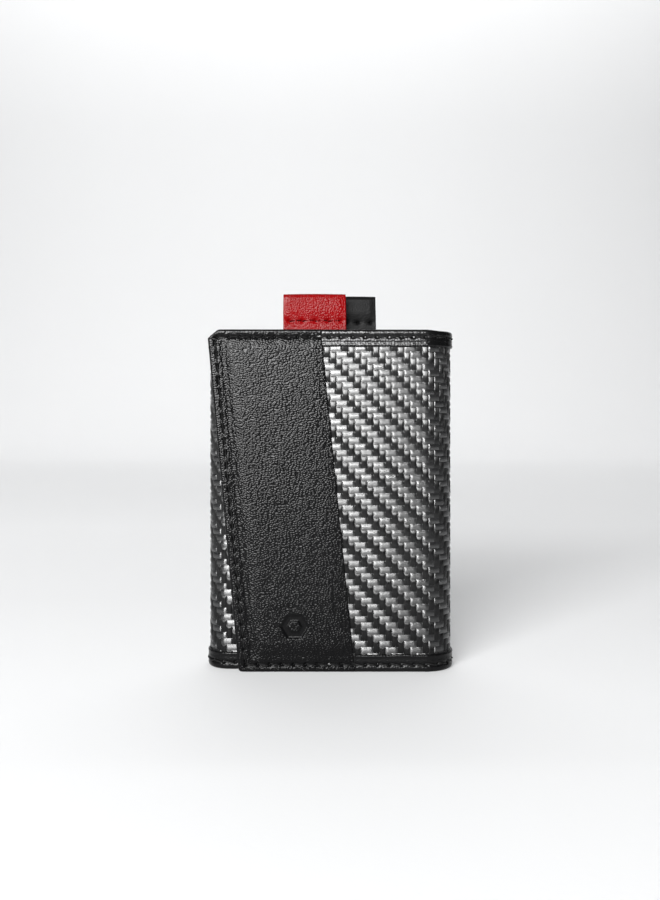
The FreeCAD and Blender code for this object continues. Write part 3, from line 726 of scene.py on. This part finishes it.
def strip_surface(x, z, width, reach):
    """Y of the leather panel's front. reach is the distance from its free edge along a row."""
    side = reach * 0.995
    end = np.minimum(TOP - z, z)
    nearest = np.minimum(end, side)
    edge = soft_min(side, end, 0.9)
    puff = smooth((side - 3.6) / 4.5) * smooth((TOP - z - 2.2) / 3.4) * smooth((z - 2.2) / 6.5)
    y = STRIP_FACE + rounding(edge, 0.8) - 0.42 * puff
    # a shallow valley inside the free edge's stitches
    margin = np.exp(-(((side - 4.2) / 1.1) ** 2))
    y += 0.27 * margin * smooth((z - 1.5) / 4) * smooth((TOP - z - 1.5) / 3)
    # the stitches pull the leather in
    place = z * smooth((end - side) * 4) + x * smooth((side - end) * 4)
    tug = 0.55 + 0.45 * np.cos(2 * np.pi * (place + 0.6 * (nearest - ROW)) / STITCH)
    y += 0.22 * np.exp(-((nearest - ROW) ** 2) / 0.5**2) * tug * (edge > 1.0)
    y += 0.15 * np.exp(-(((end - ROW) / 0.85) ** 2)) * smooth(side - 0.6)
    y += 0.05 * np.exp(-(((z - 5.0) / 0.8) ** 2)) * smooth((side - 3) / 2)
    y += 0.08 * (1 - smooth((width - reach) / 2.5)) * puff
    y += 0.05 * ripple(x / 7, z / 9, 6) * puff + 0.02 * ripple(x / 2.2, z / 2.6, 7) * smooth(edge)
    # the grain is pressed flat in the mark
    grain = pebbles(0.75 * x + 0.4 * ripple(x, z, 3), 1.2 * z + 0.35 * x, 0.66, 1) - 0.5
    mark = mark_depth(x, z)
    return y - 0.125 * grain * smooth(edge / 0.8) * (1 - np.clip(2.6 * mark, 0, 1)) + mark


def strip_holes(gx, gz, inset):
    """Depth of the needle holes along the leather panel's free edge, top and bottom."""
    side_holes = holes_along(ROW + 1, TOP - ROW - 1)
    depth = dimples(gz, inset - ROW, side_holes, *SIDE_HOLE) * (gz > 3) * (gz < TOP - 3)
    for z_row in (ROW, TOP - ROW):
        row_holes = holes_along(float(free_edge(z_row) + ROW), float(strip_edge(z_row)))
        depth = depth + dimples(gx, gz - z_row, row_holes, *HOLE)
    return depth


def strip_roll(shell, right, edge_y, z):
    """The leather panel's other edge, which rolls under onto the skin."""
    roll = 0.32
    turn = np.radians([0, 20, 40, 60, 80, 95, 100])
    rx = right[None, :] + roll * np.sin(turn)[:, None]
    ry = edge_y[None, :] + roll * (1 - np.cos(turn))[:, None]
    rx[-1] -= 0.1
    ry[-1] = COVER_Y
    rz = np.broadcast_to(z[None, :], rx.shape)
    shell.grid(np.stack([rx, ry, rz], axis=-1), (rx, rz))


def strip_threads(shell):
    """Stitches along the leather panel's free edge, bottom and top."""
    surface = -8.4
    ends = [(float(free_edge(z)) + ROW, surface, z) for z in (ROW + 1, TOP - ROW - 1)]
    stitch_line(shell, *ends, FORWARD)
    for z_row in (ROW, TOP - ROW):
        start = (float(free_edge(z_row)) + ROW, surface, z_row)
        stitch_line(shell, start, (float(strip_edge(z_row)), surface, z_row), FORWARD, lean=-0.34)


def side_wall(loop, gx, gz, front, back, count):
    """X, Y and Z of count rows from a front to a back, along a loop of grid places."""
    index = tuple(np.array(loop).T)
    share = np.linspace(0, 1, count)[:, None]
    wx, wz = (np.broadcast_to(a[index][None, :], (count, len(loop))) for a in (gx, gz))
    return wx, front[index] * (1 - share) + back[index] * share, wz


def make_strip():
    """The leather panel: its front, its rolled edges and the edge turned over the back."""
    reach = clustered(0.0, 33.0, 0.14, 1.1, (True, False))
    share = reach / reach.max()
    z = clustered(0.0, TOP, 0.13, 1.1)
    left, right = free_edge(z), strip_edge(z)
    width = (right - left)[None, :]
    gz = np.broadcast_to(z[None, :], (len(share), len(z)))
    gx = left[None, :] + width * share[:, None]
    inset = gx - left[None, :]
    y = strip_surface(gx, gz, width, inset) + strip_holes(gx, gz, inset)
    shell = Shell()
    shell.grid(np.stack([gx, y, gz], axis=-1), (gx, gz))
    strip_roll(shell, right, y[-1], z)

    # the edge turned over the back, which ends on the lining
    edge = soft_min(inset, np.minimum(TOP - gz, gz), 0.6)
    back = STRIP_BACK - rounding(edge, 0.5)
    back = back - 0.45 * smooth((edge - 4.2) / 0.35) + 0.03 * ripple(gx / 3, gz / 3, 2)
    turned = (edge[1:, 1:] + edge[:-1, :-1]) / 2 < 4.6
    shell.grid(np.stack([gx, back, gz], axis=-1)[::-1], (gx, gz), keep=turned[::-1])

    # the walls between front and back
    loop = [(i, 0) for i in range(len(share) - 1, 0, -1)]
    loop += [(0, j) for j in range(len(z))]
    loop += [(i, len(z) - 1) for i in range(1, len(share))]
    wx, wy, wz = side_wall(loop, gx, gz, y, back, 6)
    shell.grid(np.stack([wx, wy, wz], axis=-1), (wy, wz + wx))

    strip_threads(shell)
    obj = shell.make("cover_leather_panel", [BLACK_LEATHER, THREAD])
    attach(obj, "cover")
    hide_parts("cover_strip", "cover_stitches")


def make_cover():
    """The cover's woven skin and bands, and the leather panel."""
    weave = weave_patch("cover_twill", S_COVER, S_COVER + SPINE_X - STRIP_TOP + 3)
    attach(weave, "cover")
    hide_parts("cover_skin")
    for top in (True, False):
        where = "top" if top else "bottom"
        end = SPINE_X - float(strip_edge(TOP if top else 0.0)) + 0.9
        shell = Shell()
        binding(shell, S_COVER, S_COVER + end, 1.68, top, shrink=0.04, dip=S_COVER + end - 0.7)
        row_thread(shell, S_COVER, S_COVER + end - 1.2, top)
        obj = shell.make(f"cover_{where}_band", [BAND_LEATHER, THREAD])
        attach(obj, "cover")
        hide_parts(f"cover_{where}_binding")
    make_strip()


# ---------------------------------------------------------------- inside


def make_panel_edge():
    """The leather binding of the inner panel's right edge, with its stitches."""
    row_x, low, high = 26.7, 6.5, 92.5
    z = np.arange(5.2, 93.9, 0.24)
    profile = np.array(
        [
            (24.9, -5.0), (24.88, -5.25), (25.0, -5.42), (25.3, -5.5), (25.8, -5.5), (26.2, -5.46),
            (26.5, -5.38), (26.7, -5.34), (26.9, -5.38), (27.2, -5.46), (27.6, -5.5), (28.2, -5.5),
            (28.55, -5.42), (28.78, -5.22), (28.88, -4.9), (28.9, -4.4), (28.86, -3.8), (28.7, -3.5),
            (28.4, -3.38), (27.9, -3.36), (27.6, -3.4),
        ]
    )  # fmt: skip
    gz = np.broadcast_to(z[None, :], (len(profile), len(z)))
    gx = np.broadcast_to(profile[:, :1], gz.shape)
    gy = np.broadcast_to(profile[:, 1:], gz.shape)
    hollow = dimples(gz, gx - row_x, holes_along(low, high), 0.2, 0.3)
    gy = gy + hollow * (gy < -5.2) + 0.015 * ripple(gx / 2, gz / 3, 1)
    shell = Shell()
    shell.grid(np.stack([gx, gy, gz], axis=-1), (gx, gz))
    stitch_line(shell, (row_x, -5.36, low), (row_x, -5.36, high), FORWARD)
    obj = shell.make("panel_edge_band", [BLACK_LEATHER, THREAD])
    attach(obj, "wallet_body")
    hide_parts("inner_panel_edge_binding", "inner_panel_edge_stitches")


def make_note_band():
    """The band across the inner panel, sewn down at both ends."""
    half, low, high = 24.0, 38.0, 58.0
    x = np.linspace(-half, half, 180)
    z = clustered(low, high, 0.5, 0.5)
    gx, gz = np.meshgrid(x, z, indexing="ij")
    # the band stands clear of the panel between its sewn ends
    rise = 0.5 * smooth((half - 3 - np.abs(gx)) / 2.5)
    edge = np.minimum(gz - low, high - gz)
    rim = rounding(np.minimum(edge, half - np.abs(gx)), 0.22)
    crease = 0.05 * np.exp(-(((edge - 1.0) / 0.25) ** 2))
    front = -5.42 - rise + rim + crease + 0.02 * ripple(gx / 4, gz / 4, 3)
    back = np.clip(-5.02 - rise - rim * 0.6, front + 0.05, front + 0.5)
    shell = Shell()
    shell.grid(np.stack([gx, front, gz], axis=-1), (gx, gz))
    shell.grid(np.stack([gx, back, gz], axis=-1)[::-1], (gx, gz))
    loop = [(i, 0) for i in range(len(x))] + [(len(x) - 1, j) for j in range(len(z))]
    loop += [(i, len(z) - 1) for i in range(len(x) - 1, -1, -1)]
    loop += [(0, j) for j in range(len(z) - 1, -1, -1)]
    wx, wy, wz = side_wall(loop, gx, gz, front, back, 4)
    shell.grid(np.stack([wx, wy, wz], axis=-1), (wx, wz))
    for row_x in (-22.5, 22.5):
        stitch_line(shell, (row_x, -5.44, low + 1), (row_x, -5.44, high - 1), FORWARD)
    obj = shell.make("note_strap", [BLACK_LEATHER, THREAD])
    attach(obj, "wallet_body")
    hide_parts("note_band", "note_band_stitches")


# ---------------------------------------------------------------- tabs and ribbons

TAB_LOW, TAB_HIGH, TAB_HALF = 97.0, 110.0, 9.25
TAB_ROW, TAB_ROW_HALF, TAB_STITCH = 102.0, 7.6, 3.6  # the stitches' height, half width and pitch
CAP = 1.25  # height of the rounded fold along a tab's top
CAP_Z = TAB_HIGH - CAP


def tab_profile(radius):
    """Z and sideways distance from the middle, up one side of a tab and down the other."""
    up = np.concatenate([[TAB_LOW, TAB_LOW + 0.08], np.arange(TAB_LOW + 0.25, CAP_Z, 0.17)])
    turn = np.radians(np.linspace(0, 90, 17))
    half_z = np.concatenate([up, CAP_Z + CAP * np.sin(turn)])
    half_y = np.concatenate([np.full(len(up), radius), radius * np.cos(turn)])
    half_y[0] -= 0.12
    return np.concatenate([half_z, half_z[-2::-1]]), np.concatenate([-half_y, half_y[-2::-1]])


def tab_relief(gx, gz, sign, seed, rough):
    """How far a tab's faces stand out: fuller over the stitches, pulled in along them, grained."""
    edge = TAB_HALF - np.abs(gx)
    round_off = 0.16 * rounding(edge / 0.3, 1)
    holes = holes_along(-TAB_ROW_HALF, TAB_ROW_HALF, TAB_STITCH)
    tug = 0.35 + 0.65 * np.cos(np.pi * (gx - holes[0]) / (holes[1] - holes[0])) ** 2
    pinch = 0.28 * tug * np.exp(-(((gz - TAB_ROW) / 0.8) ** 2))
    puff = 0.2 * smooth((gz - TAB_ROW - 0.6) / 2.6) * smooth(edge / 2) * smooth((110.4 - gz) / 2.4)
    hollow = dimples(gx, gz - TAB_ROW, holes, 0.6, 0.32)
    grain = pebbles(gx + 0.2 * ripple(gx, gz, 2), gz + 40 * (sign > 0), 0.6, seed) - 0.5
    return puff - round_off - pinch - hollow + rough * grain * smooth(edge)


def tab_ends(shell, points):
    """A tab's two cut sides, where the folded leather's halves meet in a groove."""
    count = (points.shape[1] + 1) // 2
    t = np.linspace(0, 1, 13)[:, None, None]
    groove = -0.12 * np.exp(-(((t[..., 0] - 0.5) / 0.09) ** 2)) + 0.03 * np.sin(np.pi * t[..., 0])
    for end, outwards in ((0, -1), (-1, 1)):
        one, two = points[end, :count], points[end, : count - 2 : -1]
        rows = one[None] * (1 - t) + two[None] * t
        rows[..., 0] += outwards * groove * smooth((CAP_Z + 0.6 - rows[..., 2]) / 1.2)
        shell.grid(rows, (rows[..., 1], rows[..., 2]), 2)


def make_tab(name, middle_x, front, rear, faces, raw, seed, rough):
    """A strip of leather folded over the ribbon's end and sewn through."""
    z, side = tab_profile((rear - front) / 2)
    x = clustered(-TAB_HALF, TAB_HALF, 0.17, 0.5)
    gx = np.broadcast_to(x[:, None], (len(x), len(z)))
    gz = np.broadcast_to(z[None, :], gx.shape)
    sign = np.sign(side)[None, :]
    gy = (front + rear) / 2 + side[None, :] + sign * tab_relief(gx, gz, sign, seed, rough)
    gy = gy + 0.05 * ripple(gx / 6 + seed, gz / 6, seed)
    sway = 0.12 * ripple(gz / 9 + 3 * seed, gx / 40, seed + 1)
    wide = middle_x + gx * (1 - 0.008 * smooth((gz - 104) / 6)) + sway
    crown = 0.12 * (gx / TAB_HALF) ** 2 * smooth((gz - 108) / 2)
    points = np.stack([wide, gy, gz - crown], axis=-1)
    along = np.cumsum(np.hypot(np.diff(z, prepend=z[0]), np.diff(side, prepend=side[0])))
    shell = Shell()
    shell.grid(points, (wide, np.broadcast_to(along[None, :], wide.shape)))
    tab_ends(shell, points)
    for outwards, y in ((-1, front + 0.46), (1, rear - 0.46)):
        ends = [(middle_x + dx, y, TAB_ROW) for dx in (-TAB_ROW_HALF, TAB_ROW_HALF)]
        stitch_line(shell, *ends, (0, outwards, 0), TAB_STITCH, radius=0.26, lean=0.18, sink=0.14)
    obj = shell.make(f"{name}_leather_tab", [faces, DARK_THREAD, raw])
    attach(obj, f"{name}_tab")
    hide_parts(f"{name}_tab_grip", f"{name}_tab_stitches")


def ribbon(name, line, middle_x, node):
    """A woven ribbon 15 mm wide along a line of (y, z)."""
    line = np.array(line, float)
    steps = []
    for a, b in zip(line, line[1:]):
        count = max(2, int(np.hypot(*(b - a)) / 0.8))
        steps.append(np.linspace(a, b, count, endpoint=False))
    line = np.concatenate([*steps, line[-1:]])
    along = np.gradient(line, axis=0)
    along /= np.linalg.norm(along, axis=1, keepdims=True)
    normal = np.stack([-along[:, 1], along[:, 0]], axis=-1)
    x = np.concatenate([[-7.5, -7.46], np.linspace(-7.35, 7.35, 40), [7.46, 7.5]])
    # half the ribbon's thickness, down to nearly nothing at its selvedges
    thick = 0.15 * np.sqrt(np.clip(1 - np.clip((np.abs(x) - 7.35) / 0.15, 0, 1) ** 2, 0.02, 1))
    shell = Shell()
    run = np.cumsum(np.hypot(*np.diff(line, axis=0, prepend=line[:1]).T))
    for side in (-1, 1):
        rows = line[:, None] + side * normal[:, None] * thick[None, :, None]
        gx = np.broadcast_to(middle_x + x[None, :], rows.shape[:2])
        points = np.stack([gx, rows[..., 0], rows[..., 1]], axis=-1)
        shell.grid(points, (gx, np.broadcast_to(run[:, None], gx.shape)))
    obj = shell.make(name, [RIBBON])
    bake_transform(obj)
    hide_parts(node)


def make_pull(name, middle_x, front, rear, faces, raw, seed, rough):
    """The ribbon's two straight lengths and the tab. front and rear are the pocket's walls."""
    near, far = front + 0.3, rear - 0.3
    jog = near + 0.9
    ribbon(
        f"{name}_ribbon_run",
        [(near, 5.0), (near, 92.5), (near + 0.15, 93.4), (jog - 0.15, 95.4), (jog, 96.3), (jog, 108.0)],
        middle_x,
        f"{name}_strap_run",
    )
    ribbon(
        f"{name}_ribbon_tail",
        [(far, 5.0), (far, 84.0), (far + 0.12, 87.0), (far + 0.12, 92.0)],
        middle_x,
        f"{name}_strap_tail",
    )
    make_tab(name, middle_x, jog - 1.05, jog + 1.05, faces, raw, seed, rough)


# ---------------------------------------------------------------- assembly

FABRICS = "body_lining inner_panel_lining cover_lining pocket_divider bottom_panel"
GUSSETS = "front_pocket_gusset rear_pocket_gusset"
MAGNETS = "cover_magnet_lower cover_magnet_upper panel_magnet_lower panel_magnet_upper"
CAD_MATERIALS = (
    (LINING, f"{FABRICS} {GUSSETS} red_strap_loop black_strap_loop"),
    (BOARD, "inner_panel_board cover_board"),
    (FOIL, "front_shield_foil rear_shield_foil"),
    (STEEL, MAGNETS),
)


def dress_cad():
    """Gives the CAD shapes that stay their materials."""
    for material, names in CAD_MATERIALS:
        for name in names.split():
            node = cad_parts[name]
            node.data.materials.clear()
            node.data.materials.append(material)


def make_stage():
    """A pale sweep: floor in front, curving up behind."""
    bend_y, bend_r = 1200.0, 800.0
    profile = [(-3000.0, 0.0), (bend_y, 0.0)]
    for a in np.radians(range(6, 91, 6)):
        profile.append((bend_y + bend_r * math.sin(a), bend_r * (1 - math.cos(a))))
    profile.append((bend_y + bend_r, 3500.0))
    profile = np.array(profile)
    x = np.linspace(-3500, 3500, 15)
    gx, gy = np.meshgrid(x, profile[:, 0], indexing="ij")
    gz = np.broadcast_to(profile[:, 1], gx.shape)
    shell = Shell()
    shell.grid(np.stack([gx, gy, gz], axis=-1), (gx, gy))
    n = Nodes("pale_paper", (0.86, 0.865, 0.87), 0.7)
    tone = n.noise(n.uv(), 600.0, 3.0)
    place = n.add("ShaderNodeSeparateXYZ", {0: n.uv()}).outputs[1]
    front = n.spread(place, 0.0, 1.0, -2.3, -1.45)
    middle = n.spread(place, 0.87, 0.97, 1.0, 3.5)
    far = n.spread(place, 1.0, 0.78, 13.0, 20.0)
    shade = n.math("MULTIPLY", front, n.math("MULTIPLY", middle, far))
    shade = n.math("MULTIPLY", shade, n.spread(tone, 0.95, 1.0))
    n.set("Base Color", n.mix(shade, (0.05, 0.05, 0.052), (0.88, 0.885, 0.89)))
    n.bump(n.noise(n.uv(), 1.5, 2.0), 0.02)
    shell.make("backdrop", [n.material])


def area_light(name, place, target, size, power):
    """A white rectangular lamp that faces its target."""
    data = bpy.data.lights.new(name, "AREA")
    data.shape = "RECTANGLE"
    data.size, data.size_y = size
    data.energy = power
    obj = bpy.data.objects.new(name, data)
    obj.location = place
    direction = obj.location.copy()
    direction.x, direction.y, direction.z = (t - p for t, p in zip(target, place))
    obj.rotation_mode = "QUATERNION"
    obj.rotation_quaternion = direction.to_track_quat("-Z", "Y")
    bpy.context.scene.collection.objects.link(obj)


def make_light():
    """A long softbox in front, weak light from above and a lamp on the backdrop."""
    area_light("key_softbox", (-0.46, -1.2, 0.43), (-0.46, 0.0, 0.43), (1.08, 0.5), 55)
    area_light("top_softbox", (0.0, 0.1, 1.4), (0.0, 0.1, 0.0), (1.6, 1.6), 3)
    area_light("backdrop_light", (0.0, 1.3, 1.9), (0.0, 2.0, 1.0), (2.5, 0.5), 26)
    world = bpy.data.worlds.new("studio")
    world.use_nodes = True
    tree = world.node_tree
    background = tree.nodes["Background"]
    background.inputs["Color"].default_value = (0.9, 0.92, 0.95, 1)
    background.inputs["Strength"].default_value = 0.06
    bpy.context.scene.world = world


def make_camera():
    """Level and straight on, 0.27 m in front of the part's middle."""
    data = bpy.data.cameras.new("camera")
    data.lens = 36.8
    data.sensor_width = 36
    data.shift_y = -0.0342
    obj = bpy.data.objects.new("camera", data)
    obj.location = (0.0, -0.2739, 0.073)
    obj.rotation_euler = (math.radians(90), 0, 0)
    data.clip_start = 0.01
    bpy.context.scene.collection.objects.link(obj)
    bpy.context.scene.camera = obj


make_body_shell()
make_spine()
make_cover()
make_panel_edge()
make_note_band()
make_pull("red", -4.6, -3.4, 1.7, RED_LEATHER, RAW_RED, 1, 0.17)
make_pull("black", 4.6, 2.3, 7.4, TAB_LEATHER, RAW_BLACK, 4, 0.03)
dress_cad()
make_stage()
make_light()
make_camera()
bpy.context.scene.view_settings.view_transform = "Standard"
